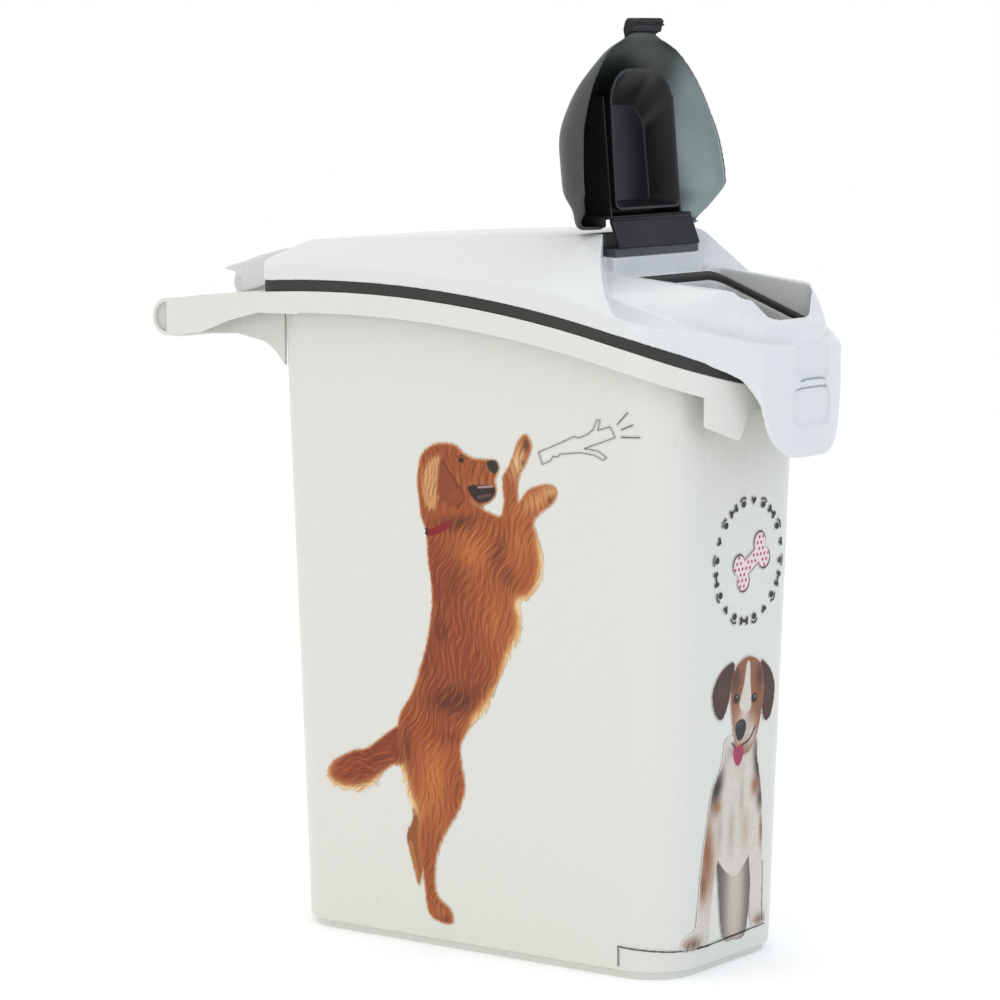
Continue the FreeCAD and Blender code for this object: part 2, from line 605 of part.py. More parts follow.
def cup_cradle():
    """Shelf and two side ribs inside the dome, between which the scoop is clipped."""
    inside = dome(CAP_T + 0.1, 4)
    shelf_z = FOLD_Z + LEAF_T / 2 + GAP
    shelf = box((60, -LEAF_Y - 2, shelf_z), (94, LEAF_Y + 2, shelf_z + 2))
    ribs = box((50, CUP_Y + 1.5, shelf_z), (94, CUP_Y + 3.3, 596))
    lean = [(92, shelf_z), (scoop_rim_x(596) - 3, 596), (40, 596), (40, shelf_z)]
    ribs = ribs.common(prism(outline(lean, [0] * 4, side(0)), V(0, 60, 0)))
    return shelf.fuse(both_sides(ribs)).common(inside)


def scoop_solid(inset):
    """The scoop's outer or inner form: rounded rim, leaning walls, slanted far end."""
    z0, z1 = CUP_Z0 + inset, CUP_Z1 - inset
    w = CUP_Y - inset
    rim_x = (scoop_rim_x(z0), scoop_rim_x(z1))
    lean = (rim_x[1] - rim_x[0]) / (z1 - z0)

    def rim_place(a, b):
        return V(rim_x[0] + lean * (b - z0) + (0.2 if inset else 0), a, b)

    def floor_place(a, b):
        return V(rim_x[0] + lean * (b - z0) - CUP_DEPTH + inset, a, b)

    rim_points = [(-w, z0), (w, z0), (w - 2, z1), (2 - w, z1)]
    floor_w, floor_z0, floor_z1 = w - 6, z0 + 3, z1 - 24
    floor_points = [(-floor_w, floor_z0), (floor_w, floor_z0), (floor_w - 2, floor_z1), (2 - floor_w, floor_z1)]
    return loft([outline(rim_points, [5, 5, 24, 24], rim_place), outline(floor_points, [5, 5, 20, 20], floor_place)])


def measuring_cup():
    return scoop_solid(0).cut(scoop_solid(1.6))


def cap_hinge_leaf():
    """Flat leaf with a live hinge along each long edge."""
    run = V(FOLD_X - LEAF_X, 0, FOLD_Z - LEAF_Z)
    across = V(run.z, 0, -run.x).normalize() * (LEAF_T / 2)
    a, b = V(LEAF_X, -LEAF_Y, LEAF_Z), V(FOLD_X, -LEAF_Y, FOLD_Z)
    plate = Part.makePolygon([a + across, b + across, b - across, a - across, a + across])
    leaf = prism(plate, V(0, 2 * LEAF_Y, 0))
    for x, z in ((LEAF_X, LEAF_Z), (FOLD_X, FOLD_Z)):
        leaf = leaf.fuse(cylinder_y(x, z, LEAF_T / 2, -LEAF_Y, LEAF_Y))
    return leaf


def cap_hinge_bracket():
    """Strip that is clipped into the crown's recess and carries the leaf."""
    top = LEAF_Z - LEAF_T / 2 - GAP
    points = [(80, NOTCH_Z), (SLOT_X, NOTCH_Z), (SLOT_X, top), (82, top)]
    return prism(outline(points, [0, 0, 0, 1.5], side(-LEAF_Y - 2)), V(0, 2 * LEAF_Y + 4, 0))


if __name__ == "__main__":
    export("bin_body", bin_body())
    for name, film in prints().items():
        export(name, film)
    export("lid", lid())
    export("lid_seal", lid_seal())
    export("spout_seal", spout_seal())
    export("cap_hinge_bracket", cap_hinge_bracket())
    export("cap_hinge_leaf", cap_hinge_leaf())
    export("pour_cap", pour_cap())
    export("cap_grip", cap_grip())
    export("cup_cradle", cup_cradle())
    export("measuring_cup", measuring_cup())
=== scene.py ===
import math

import bpy
import numpy as np
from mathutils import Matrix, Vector
from mathutils.bvhtree import BVHTree


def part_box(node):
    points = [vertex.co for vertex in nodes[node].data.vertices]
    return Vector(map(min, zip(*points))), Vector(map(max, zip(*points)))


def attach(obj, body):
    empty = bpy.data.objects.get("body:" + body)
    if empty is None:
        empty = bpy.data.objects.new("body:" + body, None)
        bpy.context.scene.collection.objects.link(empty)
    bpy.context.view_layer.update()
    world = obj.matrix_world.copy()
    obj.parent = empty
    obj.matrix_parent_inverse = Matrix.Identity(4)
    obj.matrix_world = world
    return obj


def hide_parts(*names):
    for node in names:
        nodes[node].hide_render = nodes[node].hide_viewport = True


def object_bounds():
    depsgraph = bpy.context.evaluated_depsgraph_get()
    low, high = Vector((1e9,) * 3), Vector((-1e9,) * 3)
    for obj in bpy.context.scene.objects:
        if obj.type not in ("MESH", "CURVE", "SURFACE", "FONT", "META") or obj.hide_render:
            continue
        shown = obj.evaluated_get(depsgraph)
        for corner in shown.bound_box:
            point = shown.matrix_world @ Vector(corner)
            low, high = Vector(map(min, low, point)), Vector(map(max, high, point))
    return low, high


# Pet food bin, metres in the CAD frame: +X to the pouring end, -Y the side nearest the camera, +Z up.

MM = 0.001
SEED = 7
SIDES = ((-1, "near"), (1, "far"))

# tub wall, millimetres: half sizes at the foot line, wall lean and corner radius, then how far the
# prints stand off it, their background colour, and how far past an outline its soft edge is worked out
FOOT_Z = 6.0
HALF_LONG, HALF_WIDE = 163.0, 78.0
CORNER_R = 37.0
LEAN = math.tan(math.radians(1.455))
QUARTER = CORNER_R * math.pi / 2
PRINT_LIFT = 0.38
WALL_INK = (231, 229, 222)
EDGE_REACH = 6.0

# mesh work: how near vertices are welded, how sharp an edge is that gets rounded, the number of
# sides of a handle plug, and a place in front of the tongue that rays are cast from
WELD_REACH = 0.01 * MM
SHARP_EDGE = math.radians(35)
PLUG_SIDES = 40
TONGUE_RAY_X = 0.4

# ---- camera ----
CAMERA_PLACE = (1.54757, -2.17534, 0.63725)
CAMERA_YAW, CAMERA_PITCH = 0.62815, 0.12145
CAMERA_LENS, CAMERA_SENSOR = 137.09, 36.0

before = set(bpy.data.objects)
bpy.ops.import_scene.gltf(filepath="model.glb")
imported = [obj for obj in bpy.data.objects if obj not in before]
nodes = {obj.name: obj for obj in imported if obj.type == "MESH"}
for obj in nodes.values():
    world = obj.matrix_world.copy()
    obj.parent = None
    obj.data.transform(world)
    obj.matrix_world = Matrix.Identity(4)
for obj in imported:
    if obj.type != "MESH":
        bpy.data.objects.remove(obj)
cad_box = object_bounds()


def srgb(r, g, b):
    """Linear colour from 0-255 display values."""
    def linear(c):
        c /= 255.0
        return c / 12.92 if c <= 0.04045 else ((c + 0.055) / 1.055) ** 2.4
    return (linear(r), linear(g), linear(b), 1.0)


def grey(level):
    return (level, level, level, 1.0)


# ---- materials ----
class Shader:
    """A node material with one principled shader, and helpers that add procedural detail."""

    def __init__(self, name, roughness, **sockets):
        self.material = bpy.data.materials.new(name)
        self.material.use_nodes = True
        self.tree = self.material.node_tree
        self.bsdf = self.tree.nodes["Principled BSDF"]
        self.bsdf.inputs["Roughness"].default_value = roughness
        for socket, value in sockets.items():
            self.bsdf.inputs[socket.replace("_", " ")].default_value = value
        self.coords = self.add("ShaderNodeTexCoord").outputs["Object"]

    def add(self, kind, **settings):
        node = self.tree.nodes.new(kind)
        for key, value in settings.items():
            setattr(node, key, value)
        return node

    def link(self, out, to):
        self.tree.links.new(out, to)

    def noise(self, scale, detail=3.0):
        node = self.add("ShaderNodeTexNoise")
        node.inputs["Scale"].default_value = scale
        node.inputs["Detail"].default_value = detail
        node.inputs["Roughness"].default_value = 0.5
        self.link(self.coords, node.inputs["Vector"])
        return node.outputs["Fac"]

    def ramp(self, factor, stops):
        node = self.add("ShaderNodeValToRGB")
        elements = node.color_ramp.elements
        while len(elements) < len(stops):
            elements.new(0.5)
        for element, (position, colour) in zip(elements, stops):
            element.position = position
            element.color = colour
        self.link(factor, node.inputs["Fac"])
        return node.outputs["Color"]

    def mix(self, factor, a, b):
        node = self.add("ShaderNodeMix", data_type="RGBA")
        for value, socket in ((factor, node.inputs["Factor"]), (a, node.inputs[6]), (b, node.inputs[7])):
            if isinstance(value, (tuple, float)):
                socket.default_value = value
            else:
                self.link(value, socket)
        return node.outputs[2]

    def range(self, value, low, high, out_low=0.0, out_high=1.0):
        node = self.add("ShaderNodeMapRange")
        node.interpolation_type = "SMOOTHSTEP"
        limits = {"From Min": low, "From Max": high, "To Min": out_low, "To Max": out_high}
        for socket, number in limits.items():
            node.inputs[socket].default_value = number
        self.link(value, node.inputs["Value"])
        return node.outputs["Result"]

    def axis(self, name):
        node = self.add("ShaderNodeSeparateXYZ")
        self.link(self.coords, node.inputs["Vector"])
        return node.outputs[name]

    def colour(self, source):
        self.link(source, self.bsdf.inputs["Base Color"])

    def roughness(self, source):
        self.link(source, self.bsdf.inputs["Roughness"])

    def bump(self, height, strength, distance):
        node = self.add("ShaderNodeBump")
        node.inputs["Strength"].default_value = strength
        node.inputs["Distance"].default_value = distance
        self.link(height, node.inputs["Height"])
        self.link(node.outputs["Normal"], self.bsdf.inputs["Normal"])


def moulded_plastic(name, light, dark, roughness, grain, bump, **sockets):
    """Injection-moulded plastic: faint cloudiness, uneven gloss and a fine skin texture."""
    shader = Shader(name, roughness, **sockets)
    cloud = shader.noise(1.8, 0.0)
    shader.colour(shader.ramp(cloud, [(0.2, dark), (0.8, light)]))
    shader.roughness(shader.range(shader.noise(26.0, 3.0), 0.3, 0.7, roughness - 0.04, roughness + 0.05))
    shader.bump(shader.noise(grain, 2.0), bump, 0.0002)
    return shader


def tub_plastic():
    shader = moulded_plastic("tub_plastic", srgb(212, 211, 205), srgb(210, 209, 203), 0.30, 320.0, 0.02)
    return shader.material


def lid_plastic():
    shader = moulded_plastic("lid_plastic", srgb(212, 213, 214), srgb(210, 211, 212), 0.27, 320.0, 0.02)
    return shader.material


def cap_plastic():
    """Dark plastic, painted paler inside the far flank, which catches the light when the cap is open."""
    shader = moulded_plastic("cap_plastic", srgb(51, 54, 51), srgb(46, 49, 47), 0.42, 2200.0, 0.2)
    plain = shader.bsdf.inputs["Base Color"].links[0].from_socket
    normal = shader.add("ShaderNodeSeparateXYZ")
    shader.link(shader.add("ShaderNodeNewGeometry").outputs["Normal"], normal.inputs["Vector"])
    faces_inward = shader.range(normal.outputs["Y"], -0.25, -0.85)
    on_flank = shader.range(shader.axis("Y"), 26 * MM, 68 * MM)
    both = shader.add("ShaderNodeMath", operation="MULTIPLY")
    shader.link(faces_inward, both.inputs[0])
    shader.link(on_flank, both.inputs[1])
    shader.colour(shader.mix(both.outputs["Value"], plain, srgb(158, 174, 172)))
    return shader.material


def cup_plastic():
    shader = moulded_plastic("cup_plastic", srgb(30, 29, 32), srgb(25, 24, 27), 0.36, 1800.0, 0.15,
                             Specular_IOR_Level=0.35)
    return shader.material


def hinge_plastic():
    shader = moulded_plastic("hinge_plastic", srgb(26, 26, 29), srgb(22, 22, 25), 0.5, 1800.0, 0.15,
                             Specular_IOR_Level=0.25)
    return shader.material


def seal_rubber():
    shader = moulded_plastic("seal_rubber", srgb(46, 45, 42), srgb(40, 39, 36), 0.72, 900.0, 0.4)
    return shader.material


def give(obj, material):
    obj.data.materials.clear()
    obj.data.materials.append(material)


# ---- mesh helpers ----
def new_object(name, mesh, body, material, replaces=()):
    obj = bpy.data.objects.new(name, mesh)
    bpy.context.scene.collection.objects.link(obj)
    give(obj, material)
    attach(obj, body)
    if replaces:
        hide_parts(*replaces)
    return obj


def remeshed(node, voxel, smooth, reduce):
    """A copy of a CAD node's mesh with its edges rounded off, as a moulded piece has them."""
    source = nodes[node]
    work = bpy.data.objects.new(node + "_work", source.data.copy())
    bpy.context.scene.collection.objects.link(work)
    weld = work.modifiers.new("weld", "WELD")
    weld.merge_threshold = WELD_REACH
    remesh = work.modifiers.new("remesh", "REMESH")
    remesh.mode = "VOXEL"
    remesh.voxel_size = voxel
    relax = work.modifiers.new("smooth", "SMOOTH")
    relax.factor = 0.5
    relax.iterations = smooth
    fewer = work.modifiers.new("fewer", "DECIMATE")
    fewer.ratio = reduce
    bpy.context.view_layer.update()
    evaluated = work.evaluated_get(bpy.context.evaluated_depsgraph_get())
    mesh = bpy.data.meshes.new_from_object(evaluated)
    bpy.data.objects.remove(work)
    mesh.shade_smooth()
    return mesh


def soften(node, width):
    """Rounds the edges of a CAD node that is shown as it is."""
    obj = nodes[node]
    weld = obj.modifiers.new("weld", "WELD")
    weld.merge_threshold = WELD_REACH
    bevel = obj.modifiers.new("edges", "BEVEL")
    bevel.width = width
    bevel.segments = 2
    bevel.limit_method = "ANGLE"
    bevel.angle_limit = SHARP_EDGE
    bevel.use_clamp_overlap = True
    bevel.harden_normals = False
    obj.data.shade_smooth()
    normals = obj.modifiers.new("normals", "WEIGHTED_NORMAL")
    normals.keep_sharp = True


# ---- printed pictures ----
rng = np.random.default_rng(SEED)


def wall_point(along, z, side=-1):
    """Point on the tub wall, in metres, for a distance along it in mm.

    The distance runs from the middle of a long side, round the corner and on to the front.
    """
    grow = (z - FOOT_Z) * LEAN
    straight_x = HALF_LONG - CORNER_R + grow
    straight_y = HALF_WIDE - CORNER_R + grow
    turn = np.clip((along - straight_x) / CORNER_R, 0.0, math.pi / 2)
    reach = CORNER_R + PRINT_LIFT
    x = np.minimum(along, straight_x) + reach * np.sin(turn)
    y = straight_y + reach * np.cos(turn) - np.maximum(along - straight_x - QUARTER, 0.0)
    return np.stack([x, side * y, z], axis=-1) * MM


def front_point(across, z):
    """Point on the front wall by its distance from the middle, which runs on round both corners."""
    grow = (z - FOOT_Z) * LEAN
    flip = np.where(across > 0, 1.0, -1.0)
    along = HALF_LONG + HALF_WIDE - 2 * CORNER_R + QUARTER + 2 * grow - np.abs(across)
    point = wall_point(along, z, 1)
    point[:, 1] *= flip
    return point


def spline(points, steps=6, closed=True):
    """Smooth curve through the points."""
    p = np.asarray(points, float)
    count = len(p)

    def pick(i):
        return p[i % count] if closed else p[min(max(i, 0), count - 1)]

    t = np.linspace(0, 1, steps, endpoint=False)[:, None]
    parts = []
    for i in range(count if closed else count - 1):
        a, b, c, d = pick(i - 1), pick(i), pick(i + 1), pick(i + 2)
        square, cube = 2 * a - 5 * b + 4 * c - d, 3 * b - a - 3 * c + d
        parts.append(0.5 * (2 * b + (c - a) * t + square * t**2 + cube * t**3))
    if not closed:
        parts.append(p[-1:])
    return np.vstack(parts)


def circle(centre, radius, count=24):
    turn = np.linspace(0, 2 * math.pi, count, endpoint=False)
    size = np.broadcast_to(radius, 2)
    return np.stack([centre[0] + size[0] * np.cos(turn), centre[1] + size[1] * np.sin(turn)], axis=-1)


def smooth(value):
    value = np.clip(value, 0.0, 1.0)
    return value * value * (3 - 2 * value)


def streaks(x, z, angle, length, width, count=14):
    """Fur: a sum of long thin waves that lie along `angle`, from about -1 to 1."""
    x = x + 5.0 * np.sin(z / 19.0 + 1.0) + 2.2 * np.sin(z / 7.5 + x / 9.0)
    z = z + 4.0 * np.sin(x / 13.0) + 1.6 * np.sin(x / 5.0 + z / 11.0)
    along = x * math.cos(angle) + z * math.sin(angle)
    across = -x * math.sin(angle) + z * math.cos(angle)
    total = np.zeros_like(x)
    for _ in range(count):
        thin, long = width * rng.uniform(0.5, 2.0), length * rng.uniform(0.6, 1.8)
        bend = 1.5 * np.sin(2 * math.pi * along / (long * 1.7) + rng.uniform(0, 6.3))
        total += np.sin(2 * math.pi * across / thin + bend + rng.uniform(0, 6.3)) * np.sin(
            2 * math.pi * along / long + rng.uniform(0, 6.3))
    return total * 1.4 / math.sqrt(count)


class Picture:
    """A fine grid of points on a wall, in mm, that layers of ink are laid on."""

    def __init__(self, low, high, cell):
        across, up = np.arange(low[0], high[0], cell), np.arange(low[1], high[1], cell)
        self.shape = (len(up), len(across))
        grid = np.meshgrid(across, up)
        self.x, self.z = grid[0].ravel(), grid[1].ravel()
        self.ink = np.tile(np.array(WALL_INK, float), (len(self.x), 1))
        self.cover = np.zeros(len(self.x))

    def distance(self, line, closed, reach):
        """Distance to a line, and whether each point is inside it."""
        line = np.asarray(line, float)
        ends = np.roll(line, -1, axis=0) if closed else line[1:]
        starts = line if closed else line[:-1]
        low, high = line.min(axis=0) - reach, line.max(axis=0) + reach
        inside_x, inside_z = (self.x > low[0]) & (self.x < high[0]), (self.z > low[1]) & (self.z < high[1])
        near = np.flatnonzero(inside_x & inside_z)
        x, z = self.x[near], self.z[near]
        best, inside = np.full(len(near), 1e9), np.zeros(len(near), bool)
        for (ax, az), (bx, bz) in zip(starts, ends):
            dx, dz = bx - ax, bz - az
            t = np.clip(((x - ax) * dx + (z - az) * dz) / max(dx * dx + dz * dz, 1e-9), 0, 1)
            best = np.minimum(best, (x - ax - t * dx) ** 2 + (z - az - t * dz) ** 2)
            if closed and az != bz:
                inside ^= ((az > z) != (bz > z)) & (x < dx * (z - az) / dz + ax)
        return near, np.sqrt(best), inside

    def lay(self, near, amount, colour):
        amount = np.clip(amount, 0, 1)
        self.ink[near] += (np.asarray(colour, float) - self.ink[near]) * amount[:, None]
        return amount

    def shape_of(self, outline, colour, soft=0.7, fray=None):
        """Fills an outline and returns each point's depth inside it."""
        near, away, inside = self.distance(outline, True, EDGE_REACH)
        depth = np.where(inside, away, -away)
        if fray is not None:
            depth = depth + fray[near]
        amount = self.lay(near, smooth(depth / soft + 0.5), colour)
        self.cover[near] = np.maximum(self.cover[near], amount)
        full = np.full(len(self.x), -99.0)
        full[near] = depth
        return full

    def glow(self, centre, size, colour, amount=1.0, tilt=0.0, within=None):
        """A soft patch of colour."""
        turn = math.radians(tilt)
        dx, dz = self.x - centre[0], self.z - centre[1]
        u = (dx * math.cos(turn) + dz * math.sin(turn)) / size[0]
        v = (-dx * math.sin(turn) + dz * math.cos(turn)) / size[1]
        strength = np.exp(-(u * u + v * v)) * amount
        if within is not None:
            strength = strength * smooth(within / 1.2)
        self.lay(np.arange(len(self.x)), strength, colour)

    def stroke(self, line, width, colour, soft=0.45, amount=1.0, within=None, prints=True):
        near, away, _ = self.distance(line, False, width + soft + 1)
        strength = smooth((width / 2 - away) / soft + 0.5) * amount
        if within is not None:
            strength = strength * smooth(within[near] / 1.2)
        strength = self.lay(near, strength, colour)
        if prints:
            self.cover[near] = np.maximum(self.cover[near], strength)

    def mesh(self, name, place):
        rows, columns = self.shape
        index = np.arange(rows * columns).reshape(rows, columns)
        corners = [index[:-1, :-1], index[:-1, 1:], index[1:, 1:], index[1:, :-1]]
        quads = np.stack(corners, axis=-1).reshape(-1, 4)
        quads = quads[self.cover[quads].max(axis=1) > 0.03]
        used, faces = np.unique(quads, return_inverse=True)
        mesh = bpy.data.meshes.new(name)
        mesh.from_pydata(place(self.x[used], self.z[used]).tolist(), [], faces.reshape(-1, 4).tolist())
        layer = mesh.color_attributes.new("ink", "BYTE_COLOR", "POINT")
        level = np.clip(self.ink[used] / 255.0, 0, 1)
        layer.data.foreach_set("color_srgb", np.hstack([level, np.ones((len(used), 1))]).ravel())
        mesh.shade_smooth()
        return mesh


# Outlines are in mm: along the wall from its middle, and height.
DOG_BACK = [(-18, 358), (-29, 355), (-37, 347), (-40, 332), (-39, 317), (-37, 305), (-33, 295), (-32, 276),
            (-29, 251), (-33, 222), (-41, 197), (-48, 180), (-58, 165), (-62, 150), (-58, 126), (-52, 105),
            (-44, 92), (-44, 71), (-40, 45), (-37, 25), (-28, 19), (-17, 19), (-18, 28), (-30, 38),
            (-31, 57), (-26, 75), (-16, 91), (-9, 102), (-4, 117), (-6, 132), (-7, 148)]
DOG_FRONT = [(4, 164), (15, 176), (29, 202), (36, 217), (44, 228), (46, 241), (44, 252), (53, 257),
             (61, 266), (65, 282), (61, 298), (58, 308), (64, 316), (73, 322), (78, 330), (73, 335),
             (64, 334), (54, 330), (46, 321), (45, 330), (47, 341), (53, 350), (57, 360), (53, 368),
             (47, 364), (43, 355), (38, 345), (33, 337), (34, 322), (31, 311), (22, 312), (14, 316),
             (22, 321), (27, 328), (26, 335), (29, 343), (27, 348), (20, 349), (9, 349), (0, 352),
             (-7, 357)]
DOG_TAIL = [(-50, 160), (-63, 154), (-76, 145), (-89, 136), (-103, 132), (-120, 123), (-125, 113),
            (-117, 106), (-101, 105), (-86, 110), (-76, 120), (-66, 127), (-52, 128)]
DOG_FAR_LEG = [(-46, 116), (-50, 103), (-49, 92), (-55, 78), (-54, 70), (-48, 50), (-45, 43), (-41, 60),
               (-40, 85)]
EAR_LIGHT = [(-22, 349), (-32, 342), (-36, 328), (-33, 314), (-26, 312), (-23, 322), (-18, 340)]
EAR_FLAP = [(-20, 347), (-14, 341), (-8, 332), (-1, 323), (-6, 315), (-17, 317), (-23, 326)]
DOG_NOSE = [(20, 348), (27, 349), (29.5, 344), (26, 340), (21, 343)]
DOG_MOUTH = [(3, 329), (12, 331), (25, 331), (26, 325), (19, 320), (10, 320)]
FUR_DARK, FUR_RED, FUR_MID = (84, 34, 20), (132, 54, 28), (166, 84, 42)
FUR_GOLD, FUR_PALE = (220, 154, 88), (242, 214, 168)

# places with long loose hair: centre and size
SHAGGY = [(62, 275, 12, 22), (40, 220, 12, 34), (12, 172, 14, 14), (-95, 108, 40, 12), (-52, 115, 10, 22),
          (32, 250, 20, 10)]

# soft patches of colour in the fur: centre, size, colour, strength and tilt in degrees
DOG_PATCHES = [
    ((-28, 262), (11, 40), FUR_RED, 0.85, 0),
    ((-33, 205), (12, 30), FUR_RED, 0.8, 20),
    ((-10, 262), (12, 26), (118, 50, 26), 0.75, -12),
    ((6, 284), (15, 13), (202, 116, 56), 0.9, 0),
    ((2, 236), (24, 16), (148, 66, 36), 0.7, 0),
    ((0, 206), (24, 24), (138, 58, 34), 0.75, 0),
    ((-12, 178), (26, 11), FUR_DARK, 0.85, 12),
    ((-22, 226), (6, 9), FUR_DARK, 0.6, 0),
    ((24, 238), (12, 18), (192, 108, 54), 0.8, 0),
    ((-24, 296), (8, 6), (176, 92, 46), 0.7, 0),
    ((-34, 158), (16, 12), (152, 62, 30), 0.7, 0),
    ((-18, 152), (14, 5), (120, 50, 26), 0.7, -8),
    ((-54, 140), (5, 16), FUR_DARK, 0.65, 0),
    ((-30, 120), (12, 24), (204, 118, 56), 0.95, 0),
    ((-12, 118), (8, 18), (160, 78, 38), 0.6, 0),
    ((-40, 100), (8, 12), (206, 130, 66), 0.55, 0),
    ((-22, 84), (8, 12), (188, 108, 56), 0.6, 0),
    ((-35, 60), (4, 20), (150, 76, 40), 0.6, 0),
    ((-28, 26), (9, 6), (176, 108, 62), 0.7, 0),
    ((-22, 21), (4, 2), (110, 66, 42), 0.7, 0),
    ((28, 285), (5, 13), (104, 48, 24), 0.75, -20),
    ((36, 270), (6, 6), (112, 54, 34), 0.75, 0),
    ((47, 292), (9, 16), (196, 116, 58), 0.8, 0),
    ((44, 314), (8, 8), (186, 108, 56), 0.7, 0),
    ((60, 323), (12, 7), (216, 152, 98), 1.0, 20),
    ((72, 331), (7, 5), (228, 176, 126), 1.0, 20),
    ((73, 325), (2.5, 3), (98, 62, 42), 0.8, 0),
    ((38, 330), (5, 14), (164, 92, 50), 0.8, 0),
    ((46, 350), (8, 13), (238, 198, 150), 1.0, 0),
    ((53, 361), (2.6, 5), (84, 62, 50), 0.9, 0),
    ((50, 349), (2.4, 2.6), (96, 72, 54), 0.7, 0),
    ((-8, 303), (20, 5), (88, 38, 20), 0.8, 12),
    ((18, 304), (10, 6), (160, 84, 44), 0.6, 0),
    ((-18, 350), (12, 7), (150, 74, 42), 0.8, 0),
    ((2, 342), (12, 8), (152, 76, 40), 0.8, 0),
    ((16, 342), (12, 4), (158, 88, 50), 0.7, 0),
    ((10, 334), (12, 4), (160, 92, 54), 0.7, 0),
    ((-100, 121), (14, 5), (150, 62, 30), 0.7, 12),
    ((-72, 136), (10, 7), (150, 60, 28), 0.7, 30),
    ((-116, 116), (8, 8), (160, 72, 38), 0.6, 0),
]


def leaping_dog():
    picture = Picture((-131, 12), (84, 374), 0.6)
    x, z = picture.x, picture.z
    everywhere = np.arange(len(x))
    tail_side = smooth((-58 - x) / 12) * smooth((z - 95) / 10) * smooth((165 - z) / 10)
    body_fur, tail_fur = math.radians(-104), math.radians(205)
    fine = np.where(tail_side > 0.5, streaks(x, z, tail_fur, 14, 1.7), streaks(x, z, body_fur, 16, 1.7))
    coarse = np.where(tail_side > 0.5, streaks(x, z, tail_fur, 26, 5.0), streaks(x, z, body_fur, 34, 5.0))
    shaggy = sum(np.exp(-((x - cx) / rx) ** 2 - ((z - cz) / rz) ** 2) for cx, cz, rx, rz in SHAGGY)
    fray = (0.35 + 1.5 * np.clip(shaggy, 0, 1)) * (0.7 * fine + 0.5 * coarse)
    picture.shape_of(spline(DOG_FAR_LEG), (150, 84, 42), 1.2, fray)
    picture.stroke([(-52, 72), (-46, 46)], 4.0, (196, 136, 80), 2.0, 0.6, prints=False)
    tail = picture.shape_of(spline(DOG_TAIL), FUR_RED, 1.2, fray)
    body = picture.shape_of(spline(DOG_BACK + DOG_FRONT), FUR_MID, 1.2, fray)
    whole = np.maximum(body, tail)
    for centre, size, colour, amount, tilt in DOG_PATCHES:
        picture.glow(centre, size, colour, amount, tilt, whole)
    # pale edges, strongest where the hair is long
    rim = smooth(1 - whole / 9.0) * (whole > -2)
    gold = rim * np.clip(shaggy * 1.25, 0, 1)
    picture.lay(everywhere, gold * 0.9, FUR_GOLD)
    picture.lay(everywhere, gold * smooth(1 - whole / 4.0), FUR_PALE)
    thin_rim = smooth(1 - whole / 2.0) * (whole > -2) * (1 - np.clip(shaggy, 0, 1))
    picture.lay(everywhere, thin_rim * 0.45, (196, 122, 66))
    belly = spline([(46, 240), (36, 214), (22, 188), (6, 166)], closed=False)
    picture.stroke(belly, 7, (226, 160, 92), 6, 0.65, whole, prints=False)
    on_dog = smooth(whole / 1.5)
    picture.lay(everywhere, on_dog * np.clip(fine, 0, 1) * 0.17, (224, 142, 74))
    picture.lay(everywhere, on_dog * np.clip(-fine - 0.1, 0, 1) * 0.22, (84, 34, 18))
    picture.lay(everywhere, on_dog * np.clip(-coarse - 0.1, 0, 1) * 0.30, (92, 36, 20))
    picture.lay(everywhere, on_dog * np.clip(coarse - 0.2, 0, 1) * 0.26, (226, 144, 74))
    dog_head(picture, fine)
    return picture


def dog_head(picture, fine):
    """Ear, eye, nose, open mouth and collar."""

    def crease(points, width, colour, soft, amount):
        picture.stroke(spline(points, closed=False), width, colour, soft, amount, prints=False)

    def dash(points, width, colour, soft, amount):
        picture.stroke(points, width, colour, soft, amount, prints=False)

    ear = picture.shape_of(spline(EAR_LIGHT), (214, 160, 108), 4.5, 1.6 * fine)
    picture.lay(np.arange(len(fine)), smooth(ear / 2) * np.clip(-fine, 0, 1) * 0.7, (140, 74, 40))
    picture.shape_of(spline(EAR_FLAP), (142, 70, 38), 3.5)
    picture.glow((-9, 322), (6, 5), (156, 78, 42), 0.7)
    crease([(-18, 346), (-8, 333), (0, 322), (-6, 314)], 1.2, (82, 36, 20), 1.4, 0.7)
    picture.shape_of(circle((-2.0, 347.5), (2.4, 1.7)), (52, 28, 20), 1.4)
    dash([(-6, 349.5), (-1, 351), (3, 349)], 0.9, (92, 46, 28), 0.8, 0.8)
    picture.shape_of(spline(DOG_NOSE), (52, 44, 40), 1.0)
    picture.shape_of(spline(DOG_MOUTH), (50, 34, 32), 1.0)
    dash([(12, 329.6), (24, 331.0)], 1.4, (206, 178, 170), 0.8, 0.8)
    dash([(12, 322.5), (22, 325)], 2.2, (120, 76, 78), 1.2, 0.8)
    crease([(5, 320), (14, 316), (22, 320), (27, 326)], 2.2, (176, 128, 90), 1.6, 0.7)
    crease([(-35, 295), (-26, 296), (-14, 302)], 5.0, (140, 24, 34), 1.2, 0.95)
    dash([(-33, 293), (-33, 297)], 2.6, (62, 26, 26), 1.0, 0.9)


STICK = [(63, 357), (66, 349), (73, 352), (75, 355), (79, 355), (81, 357), (98, 359), (109, 358),
         (116, 355), (119, 357), (112, 361), (101, 362), (112, 366), (126, 371), (122, 378), (112, 375),
         (114, 382), (111.5, 382), (108, 375), (104, 372), (97, 369), (92, 369.5), (87, 367), (63, 357)]


def flying_stick():
    picture = Picture((58, 342), (150, 392), 0.4)
    pen = (92, 94, 94)
    picture.stroke(STICK, 0.65, pen)
    for line in ([(128, 380), (136, 388)], [(131, 376.5), (140, 380)], [(131, 371.5), (145, 372)]):
        picture.stroke(line, 0.9, pen)
    return picture


